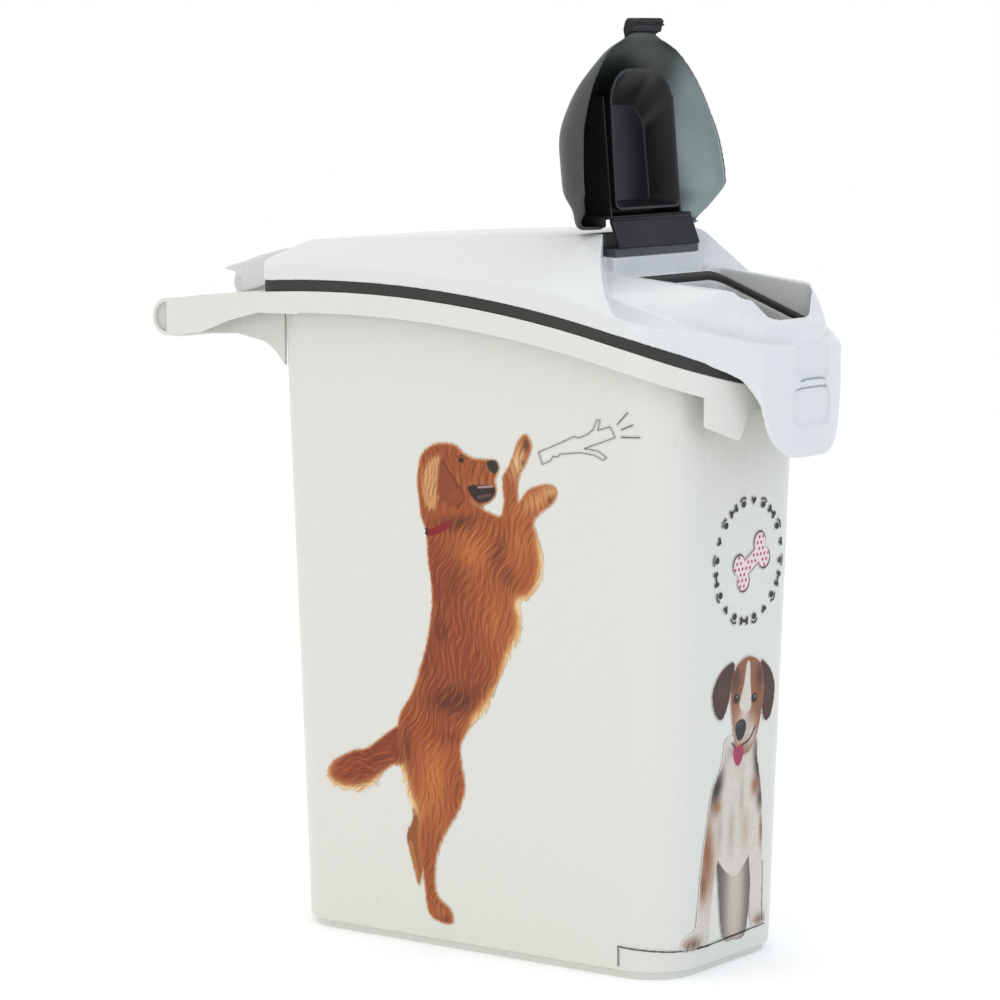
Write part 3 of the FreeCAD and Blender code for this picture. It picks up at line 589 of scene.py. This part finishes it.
def heart(centre, size, turn):
    t = np.linspace(0, 2 * math.pi, 28, endpoint=False)
    up = 13 * np.cos(t) - 5 * np.cos(2 * t) - 2 * np.cos(3 * t) - np.cos(4 * t)
    flat = np.stack([16 * np.sin(t) ** 3, up], axis=-1)
    return turned(flat * size / 32, turn) + np.asarray(centre)


def turned(points, turn):
    c, s = math.cos(turn), math.sin(turn)
    return np.asarray(points, float) @ np.array([[c, s], [-s, c]])


def bone(centre, half, bar, knob, turn):
    """Outline of a bone: a bar with two round knobs at each end."""
    c = np.asarray(centre, float)
    knobs = [turned([(sx * half, sy * bar * 1.15)], turn)[0] + c for sx in (-1, 1) for sy in (-1, 1)]
    shaft = turned([(-half, -bar), (half, -bar), (half, bar), (-half, bar)], turn) + c
    return shaft, [circle(k, knob) for k in knobs]


def badge(picture):
    """Ring of small paws, bones and hearts round a dotted bone."""
    centre, radius, pen = np.array([10.5, 281.0]), 41.5, (30, 30, 34)
    marks = 20
    for i in range(marks):
        turn = 2 * math.pi * i / marks + 0.1
        out = np.array([math.sin(turn), math.cos(turn)])
        spot = centre + radius * out
        if i % 4 == 0:
            picture.shape_of(heart(spot, 6.2, -turn), pen, 0.5)
        elif i % 4 == 2:
            shaft, knobs = bone(spot, 3.7, 1.1, 1.7, -turn)
            for outline in [shaft] + knobs:
                picture.shape_of(outline, pen, 0.5)
        else:
            picture.shape_of(circle(spot - 1.0 * out, (2.9, 2.4)), pen, 0.5)
            for toe in (-1.5, -0.5, 0.5, 1.5):
                way = turn + toe * 0.52
                toe_spot = spot + 4.0 * np.array([math.sin(way), math.cos(way)]) - 0.7 * out
                picture.shape_of(circle(toe_spot, 1.1, 12), pen, 0.5)
    for grow, colour in ((0.7, (74, 40, 50)), (0.0, (244, 222, 224))):
        shaft, knobs = bone((14, 280), 14.5, 5.2 + grow, 7.0 + grow, math.radians(28))
        inner = [picture.shape_of(outline, colour, 0.5) for outline in [shaft] + knobs]
    inner = np.maximum.reduce(inner)
    for row in range(-4, 5):
        for column in range(-6, 7):
            dot = np.array([14 + 4.6 * column + 2.3 * (row % 2), 280 + 4.0 * row])
            nearest = np.argmin((picture.x - dot[0]) ** 2 + (picture.z - dot[1]) ** 2)
            if inner[nearest] > 1.0:
                picture.shape_of(circle(dot, 1.15, 12), (170, 44, 70), 0.5)


PUPPY_LAP = [(-20, 92), (-17, 60), (-10, 22), (4, 17), (20, 20), (25, 60), (28, 92)]
PUPPY_NEAR_LEG = [(-20, 128), (-29, 120), (-34, 100), (-38, 80), (-41, 55), (-44, 33), (-52, 29),
                  (-57, 23), (-52, 19), (-38, 17.5), (-27, 18), (-26, 30), (-24, 50), (-17, 82), (-8, 108)]
PUPPY_OTHER_LEG = [(20, 110), (21, 78), (25, 50), (26, 28), (33, 21), (46, 22), (44, 30), (39, 34),
                   (39, 58), (39, 78), (37, 100), (32, 116)]
PUPPY_CHEST = [(-10, 160), (-16, 143), (-27, 128), (-31, 108), (-24, 86), (-12, 70), (4, 62), (18, 70),
               (30, 86), (37, 104), (34, 124), (29, 142), (25, 158)]
PUPPY_LEFT_EAR = [(-4, 211), (-14, 211), (-25, 204), (-31, 193), (-28, 181), (-21, 174.5), (-15, 177),
                  (-8, 192)]
PUPPY_RIGHT_EAR = [(30, 209), (40, 204), (47, 195), (49, 184), (45, 170), (38, 166), (33, 174), (32, 192)]
PUPPY_HEAD = [(16, 214), (4, 212), (-5, 205), (-8, 194), (-6, 178), (-3, 164), (0, 152), (8, 146),
              (18, 148), (27, 158), (32, 172), (35, 190), (30, 207)]
PUPPY_BLAZE = [(12, 210), (9, 196), (4, 180), (16, 176), (19, 182), (17, 196), (16, 209)]
PUPPY_NOSE = [(-1, 167), (4, 171), (11, 170), (13, 164), (8, 157), (2, 158)]
PUPPY_SMILE = [(-4, 156), (1, 152), (8, 153), (18, 156), (25, 164)]
PUPPY_TONGUE = [(-2, 152), (10, 152), (9, 143), (4, 139), (-1, 143)]
PUP_WHITE, PUP_SHADE, PUP_TAN = (226, 218, 208), (178, 162, 150), (152, 92, 58)
PUP_BROWN, PUP_BLACK = (66, 34, 26), (42, 30, 28)
PUPPY_BODY_PATCHES = [
    ((-22, 127), (6, 14), PUP_BLACK, 1.0, -22),
    ((-21, 114), (5, 6), PUP_TAN, 0.8, 0),
    ((30, 137), (5, 17), PUP_BLACK, 1.0, 12),
    ((27, 122), (5, 7), PUP_TAN, 0.85, 0),
    ((34, 112), (4, 8), (70, 48, 38), 0.8, 0),
    ((-32, 84), (8, 26), PUP_TAN, 1.0, 6),
    ((-36, 62), (5, 12), (138, 78, 50), 0.9, 0),
    ((37, 90), (3, 12), PUP_TAN, 0.9, 0),
    ((-2, 96), (4, 16), PUP_SHADE, 0.6, 0),
    ((10, 118), (3, 18), PUP_SHADE, 0.5, 0),
    ((16, 92), (5, 14), (196, 172, 150), 0.7, 0),
    ((-17, 96), (4, 14), PUP_SHADE, 0.55, 0),
    ((4, 138), (10, 10), (214, 200, 188), 0.7, 0),
    ((-46, 23), (9, 5), (128, 100, 84), 0.85, 0),
    ((37, 25), (8, 4), (128, 102, 88), 0.8, 0),
    ((4, 150), (14, 5), (150, 136, 128), 0.7, 0),
]
PUPPY_HEAD_PATCHES = [
    ((-2, 200), (6, 10), (74, 42, 32), 0.9, 0),
    ((29, 199), (5, 10), (74, 42, 32), 0.9, 0),
    ((12, 211), (12, 4), (146, 88, 56), 0.8, 0),
    ((-1, 176), (4, 10), (164, 92, 50), 0.8, 0),
    ((28, 174), (4, 10), (140, 80, 48), 0.8, 0),
    ((8, 164), (10, 12), PUP_WHITE, 1.0, 0),
    ((20, 160), (7, 11), (214, 204, 196), 0.95, 0),
    ((11, 178), (5, 9), PUP_WHITE, 1.0, 0),
]


def puppy(picture):
    """Sitting puppy with its forepaws on the base line."""
    fine = streaks(picture.x, picture.z, math.radians(-92), 12, 1.7)
    fray = 0.3 * fine
    everywhere = np.arange(len(fine))
    lap = picture.shape_of(spline(PUPPY_LAP), (88, 80, 76), 1.0, fray)
    picture.glow((5, 52), (13, 60), (214, 200, 186), 1.0, 0, lap)
    picture.glow((5, 36), (10, 40), (206, 190, 176), 0.9, 0, lap)
    near_leg = picture.shape_of(spline(PUPPY_NEAR_LEG), PUP_WHITE, 0.8, fray)
    other_leg = picture.shape_of(spline(PUPPY_OTHER_LEG), PUP_WHITE, 0.8, fray)
    chest = picture.shape_of(spline(PUPPY_CHEST), PUP_WHITE, 0.9, fray)
    body = np.maximum(np.maximum(near_leg, other_leg), chest)
    for centre, size, colour, amount, tilt in PUPPY_BODY_PATCHES:
        picture.glow(centre, size, colour, amount, tilt, body)
    for toe in (-52, -46, -40):
        picture.stroke([(toe, 18.5), (toe + 1.5, 24)], 0.8, (70, 52, 44), 0.6, 0.8, prints=False)
    picture.lay(everywhere, smooth(body / 1.2) * np.clip(-fine - 0.2, 0, 1) * 0.22, (110, 84, 66))
    for outline in (PUPPY_LEFT_EAR, PUPPY_RIGHT_EAR):
        ear = picture.shape_of(spline(outline), PUP_BROWN, 0.9, fray)
        picture.glow(np.mean(outline, axis=0), (7, 10), (98, 56, 42), 0.45, 0, ear)
    head = picture.shape_of(spline(PUPPY_HEAD), PUP_TAN, 0.9, fray)
    for centre, size, colour, amount, tilt in PUPPY_HEAD_PATCHES:
        picture.glow(centre, size, colour, amount, tilt, head)
    picture.shape_of(spline(PUPPY_BLAZE), PUP_WHITE, 1.4)
    for eye in ((-0.5, 186.5), (22.5, 184.0)):
        picture.shape_of(circle(eye, (4.0, 3.4)), (58, 34, 26), 1.2)
        picture.shape_of(circle(eye, (2.7, 2.7)), (18, 14, 14), 0.8)
        picture.shape_of(circle((eye[0] + 0.9, eye[1] + 1.0), 0.6, 10), (220, 214, 208), 0.5)
    picture.shape_of(spline(PUPPY_NOSE), (30, 28, 32), 0.9)
    picture.glow((5, 168), (3, 1.4), (110, 106, 112), 0.6)
    picture.stroke(spline(PUPPY_SMILE, closed=False), 1.5, (58, 34, 34), 0.8, 0.95, prints=False)
    picture.shape_of(spline(PUPPY_TONGUE), (170, 48, 86), 0.9)
    picture.stroke([(4, 151), (4, 144)], 1.0, (128, 32, 62), 0.8, 0.6, prints=False)
    picture.lay(everywhere, smooth(head / 1.5) * np.clip(-fine - 0.3, 0, 1) * 0.15, (60, 36, 24))


def front_picture():
    picture = Picture((-60, 14), (56, 330), 0.45)
    badge(picture)
    puppy(picture)
    picture.stroke([(39.5, 66), (41, 24)], 0.8, (52, 50, 50))
    return picture


def base_line():
    picture = Picture((121, 6), (274, 26), 0.45)
    line = [(124, 9), (124, 22.4), (142, 21.4), (161, 20), (198, 18.6), (225, 19.4), (270, 20.6)]
    picture.stroke(line, 1.0, (40, 42, 44))
    return picture


def print_film():
    """Glossy printed film: the ink layer with a faint uneven sheen."""
    shader = Shader("print_film", 0.34, Specular_IOR_Level=0.3)
    ink = shader.add("ShaderNodeVertexColor", layer_name="ink")
    cloud = shader.ramp(shader.noise(420.0, 3.0), [(0.3, grey(0.80)), (0.7, grey(0.84))])
    blend = shader.add("ShaderNodeMix", data_type="RGBA", blend_type="MULTIPLY")
    blend.inputs["Factor"].default_value = 1.0
    shader.link(ink.outputs["Color"], blend.inputs[6])
    shader.link(cloud, blend.inputs[7])
    shader.colour(blend.outputs[2])
    shader.roughness(shader.range(shader.noise(26.0, 3.0), 0.3, 0.7, 0.26, 0.35))
    return shader.material


def printed_pictures():
    film = print_film()
    dog, stick, front, line = leaping_dog(), flying_stick(), front_picture(), base_line()

    def piece(name, mesh, replaces=()):
        new_object(name, mesh, "bin", film, replaces)

    for side, label in SIDES:
        def place(x, z, side=side):
            return wall_point(x, z, side)

        piece("dog_print_" + label, dog.mesh("dog_" + label, place), ["side_print_" + label])
        piece("stick_print_" + label, stick.mesh("stick_" + label, place))
    piece("puppy_print", front.mesh("puppy", front_point), ["front_print"])
    piece("base_line_print", line.mesh("base_line", wall_point))


# ---- small moulded details ----
def block(name, low, high, body, material, bevel):
    """A box between two corners, with rounded edges."""
    corners = [(x, y, z) for x in (low[0], high[0]) for y in (low[1], high[1]) for z in (low[2], high[2])]
    faces = [(0, 1, 3, 2), (4, 6, 7, 5), (0, 4, 5, 1), (2, 3, 7, 6), (0, 2, 6, 4), (1, 5, 7, 3)]
    mesh = bpy.data.meshes.new(name)
    mesh.from_pydata(corners, [], faces)
    obj = new_object(name, mesh, body, material)
    edges = obj.modifiers.new("edges", "BEVEL")
    edges.width = bevel
    edges.segments = 2
    mesh.shade_smooth()
    return obj


def hinge_details():
    """The web at the leaf's outer end, and a small foot at each lower corner of the open cap."""
    low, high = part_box("cap_hinge_leaf")
    web_low = (high.x - 9.6 * MM, low.y + MM, high.z - 0.8 * MM)
    web_high = (high.x - 6.4 * MM, high.y - MM, high.z + 0.9 * MM)
    block("fold_web", web_low, web_high, "leaf", HINGE, 0.2 * MM)
    shelf_low, shelf_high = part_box("cup_cradle")
    for side, label in SIDES:
        inner, outer = sorted((side * (high.y + 1.4 * MM), side * (high.y + 5.5 * MM)))
        foot_low = (shelf_high.x - 22 * MM, inner, shelf_low.z - 5 * MM)
        foot_high = (shelf_high.x - 1 * MM, outer, shelf_low.z + 1.5 * MM)
        block("cap_foot_" + label, foot_low, foot_high, "cap", HINGE, 0.6 * MM)


def handle_plugs(milky):
    """The milky end faces of the handle bar."""
    points = np.array([v.co for v in nodes["bin_body"].data.vertices])
    bar = points[points[:, 0] < cad_box[0][0] + 12 * MM]
    centre_z = (bar[:, 2].min() + bar[:, 2].max()) / 2
    radius = (bar[:, 2].max() - bar[:, 2].min()) / 2 - 2.0 * MM
    centre_x = cad_box[0][0] + radius + 2.0 * MM
    outer = np.abs(bar[:, 1]).max()
    ring = circle((centre_x, centre_z), radius, PLUG_SIDES)
    depths = (outer - 2.2 * MM, outer - 4.0 * MM)
    walls = []
    for i in range(PLUG_SIDES):
        after = (i + 1) % PLUG_SIDES
        walls.append((i, after, PLUG_SIDES + after, PLUG_SIDES + i))
    ends = [tuple(range(PLUG_SIDES)), tuple(range(PLUG_SIDES, 2 * PLUG_SIDES))]
    for side, label in SIDES:
        mesh = bpy.data.meshes.new("plug")
        mesh.from_pydata([(x, side * y, z) for y in depths for x, z in ring], [], walls + ends)
        new_object("handle_plug_" + label, mesh, "bin", milky)


def rounded_box(half_y, low, high, radius, steps=6):
    """Closed outline of a rounded rectangle, in mm."""
    top, bottom = high - radius, low + radius
    points = []
    for side, z, start in ((1, top, 0.0), (-1, top, 90.0), (-1, bottom, 180.0), (1, bottom, 270.0)):
        for i in range(steps + 1):
            turn = math.radians(start + 90.0 * i / steps)
            y = side * (half_y - radius) + radius * math.cos(turn)
            points.append((y, z + radius * math.sin(turn)))
    return points


def bead_on_front(name, shell, line, closed, thickness, material):
    """A fine bead that follows a line in (y, z) over the front face of the tongue."""
    faces = [tuple(p.vertices) for p in shell.polygons]
    tree = BVHTree.FromPolygons([v.co for v in shell.vertices], faces)
    curve = bpy.data.curves.new(name, "CURVE")
    curve.dimensions = "3D"
    curve.bevel_depth = thickness / 2
    curve.bevel_resolution = 2
    curve.use_fill_caps = True
    path = curve.splines.new("POLY")
    backward = Vector((-1, 0, 0))
    hits = [tree.ray_cast(Vector((TONGUE_RAY_X, y * MM, z * MM)), backward)[0] for y, z in line]
    hits = [hit for hit in hits if hit is not None]
    path.points.add(len(hits) - 1)
    for point, hit in zip(path.points, hits):
        point.co = (hit.x, hit.y, hit.z, 1.0)
    path.use_cyclic_u = closed
    work = bpy.data.objects.new(name + "_work", curve)
    bpy.context.scene.collection.objects.link(work)
    bpy.context.view_layer.update()
    mesh = bpy.data.meshes.new_from_object(work.evaluated_get(bpy.context.evaluated_depsgraph_get()))
    bpy.data.objects.remove(work)
    mesh.shade_smooth()
    return new_object(name, mesh, "lid", material)


def tongue_beads(shell, white, groove_shade):
    bead_on_front("tongue_frame_upper", shell, rounded_box(20.5, 408, 432, 5), True, 1.1 * MM, white)
    bead_on_front("tongue_frame_lower", shell, rounded_box(23, 378, 405, 8), True, 1.1 * MM, white)
    # the two groove lines are dark grey beads painted on as the shade inside the tongue's grooves
    for name, half, z in (("tongue_groove_shade_upper", 15, 409.5), ("tongue_groove_shade_lower", 19, 404)):
        line = [(half * step / 10, z - 1.2 * abs(step / 10) ** 4) for step in range(-10, 11)]
        bead_on_front(name, shell, line, False, 1.4 * MM, groove_shade)


# ---- scene ----
def camera_and_lights():
    data = bpy.data.cameras.new("camera")
    data.lens = CAMERA_LENS
    data.sensor_width = CAMERA_SENSOR
    data.clip_end = 50.0
    camera = bpy.data.objects.new("camera", data)
    camera.location = CAMERA_PLACE
    level = math.cos(CAMERA_PITCH)
    forward = Vector((-math.sin(CAMERA_YAW) * level, math.cos(CAMERA_YAW) * level, -math.sin(CAMERA_PITCH)))
    camera.rotation_mode = "QUATERNION"
    camera.rotation_quaternion = forward.to_track_quat("-Z", "Y")
    bpy.context.scene.collection.objects.link(camera)
    bpy.context.scene.camera = camera

    def area(name, place, target, size, energy, colour):
        light = bpy.data.lights.new(name, "AREA")
        light.shape = "RECTANGLE"
        light.size, light.size_y = size
        light.energy = energy
        light.color = colour
        lamp = bpy.data.objects.new(name, light)
        lamp.location = place
        lamp.rotation_mode = "QUATERNION"
        lamp.rotation_quaternion = (Vector(target) - Vector(place)).to_track_quat("-Z", "Y")
        bpy.context.scene.collection.objects.link(lamp)

    area("key", (-1.6, -2.4, 1.9), (0, 0, 0.3), (1.8, 1.8), 5.0, (1.0, 0.97, 0.92))
    area("fill", (2.4, -0.6, 1.0), (0, 0, 0.3), (1.4, 1.6), 6.5, (0.78, 0.91, 1.0))
    area("top", (0.0, -0.1, 2.4), (0, 0, 0.3), (1.6, 1.6), 9.0, (1.0, 0.99, 0.97))
    area("strip", (0.45, -2.9, 0.85), (0.05, 0, 0.56), (0.7, 0.8), 9.0, (0.97, 1.0, 1.0))
    world = bpy.data.worlds.new("studio")
    bpy.context.scene.world = world
    world.use_nodes = True
    tree = world.node_tree
    background = tree.nodes["Background"]
    background.inputs["Strength"].default_value = 1.0
    axes = tree.nodes.new("ShaderNodeSeparateXYZ")
    tree.links.new(tree.nodes.new("ShaderNodeTexCoord").outputs["Generated"], axes.inputs["Vector"])
    # the light is bluer from the pouring end and warmer from the near side
    toward_front = ("X", 0.0, 0.9, (0.70, 0.80, 0.94, 1.0))
    toward_near = ("Y", -0.1, -0.9, (0.86, 0.84, 0.80, 1.0))
    colour = grey(1.0)
    for axis, low, high, tint in (toward_front, toward_near):
        part = tree.nodes.new("ShaderNodeMapRange")
        part.inputs["From Min"].default_value = low
        part.inputs["From Max"].default_value = high
        tree.links.new(axes.outputs[axis], part.inputs["Value"])
        blend = tree.nodes.new("ShaderNodeMix")
        blend.data_type = "RGBA"
        tree.links.new(part.outputs["Result"], blend.inputs["Factor"])
        if isinstance(colour, tuple):
            blend.inputs[6].default_value = colour
        else:
            tree.links.new(colour, blend.inputs[6])
        blend.inputs[7].default_value = tint
        colour = blend.outputs[2]
    tree.links.new(colour, background.inputs["Color"])
    bpy.context.scene.view_settings.view_transform = "Standard"


def floor():
    mesh = bpy.data.meshes.new("floor")
    reach = 12.0
    corners = [(-reach, -reach, 0), (reach, -reach, 0), (reach, reach, 0), (-reach, reach, 0)]
    mesh.from_pydata(corners, [], [(0, 1, 2, 3)])
    obj = bpy.data.objects.new("floor", mesh)
    bpy.context.scene.collection.objects.link(obj)
    shader = Shader("floor_paper", 0.9)
    shader.colour(shader.ramp(shader.noise(3.0), [(0.3, grey(0.82)), (0.7, grey(0.85))]))
    shader.bsdf.inputs["Emission Color"].default_value = (1, 1, 1, 1)
    shader.bsdf.inputs["Emission Strength"].default_value = 0.22
    give(obj, shader.material)


camera_and_lights()
floor()

TUB, LID, CAP = tub_plastic(), lid_plastic(), cap_plastic()
CUP, HINGE, SEAL = cup_plastic(), hinge_plastic(), seal_rubber()
BRACKET = moulded_plastic("bracket_plastic", srgb(66, 68, 70), srgb(58, 60, 62), 0.42, 1800.0, 0.15).material
# dark grey for the groove lines on the tongue: painted shade standing in for the shade inside the grooves
GROOVE_SHADE = moulded_plastic("lid_groove_shade", srgb(150, 155, 160), srgb(142, 147, 152), 0.5, 320.0, 0.02).material
MILKY = moulded_plastic("milky_plastic", srgb(196, 194, 190), srgb(192, 190, 186), 0.4, 320.0, 0.02).material

lid_shell = new_object("lid_shell", remeshed("lid", 0.8 * MM, 14, 0.3), "lid", LID, ["lid"])
tongue_beads(lid_shell.data, LID, GROOVE_SHADE)
for name, node, slot, material, voxel, smooth_steps in (
        ("dome_cap", "pour_cap", "cap_dark", CAP, 0.6, 6),
        ("measuring_scoop", "measuring_cup", "cup_dark", CUP, 0.5, 5),
        ("thumb_grip", "cap_grip", "cap_dark", HINGE, 0.3, 4)):
    new_object(name, remeshed(node, voxel * MM, smooth_steps, 0.4), "cap", material, [node])
hinge_details()
handle_plugs(MILKY)
give(nodes["bin_body"], TUB)
soften("bin_body", 0.9 * MM)
printed_pictures()
for node, material, width in (
        ("lid_seal", SEAL, 0.5), ("spout_seal", SEAL, 0.8), ("cap_hinge_bracket", BRACKET, 0.5),
        ("cap_hinge_leaf", HINGE, 0.3), ("cup_cradle", HINGE, 0.3)):
    give(nodes[node], material)
    soften(node, width * MM)
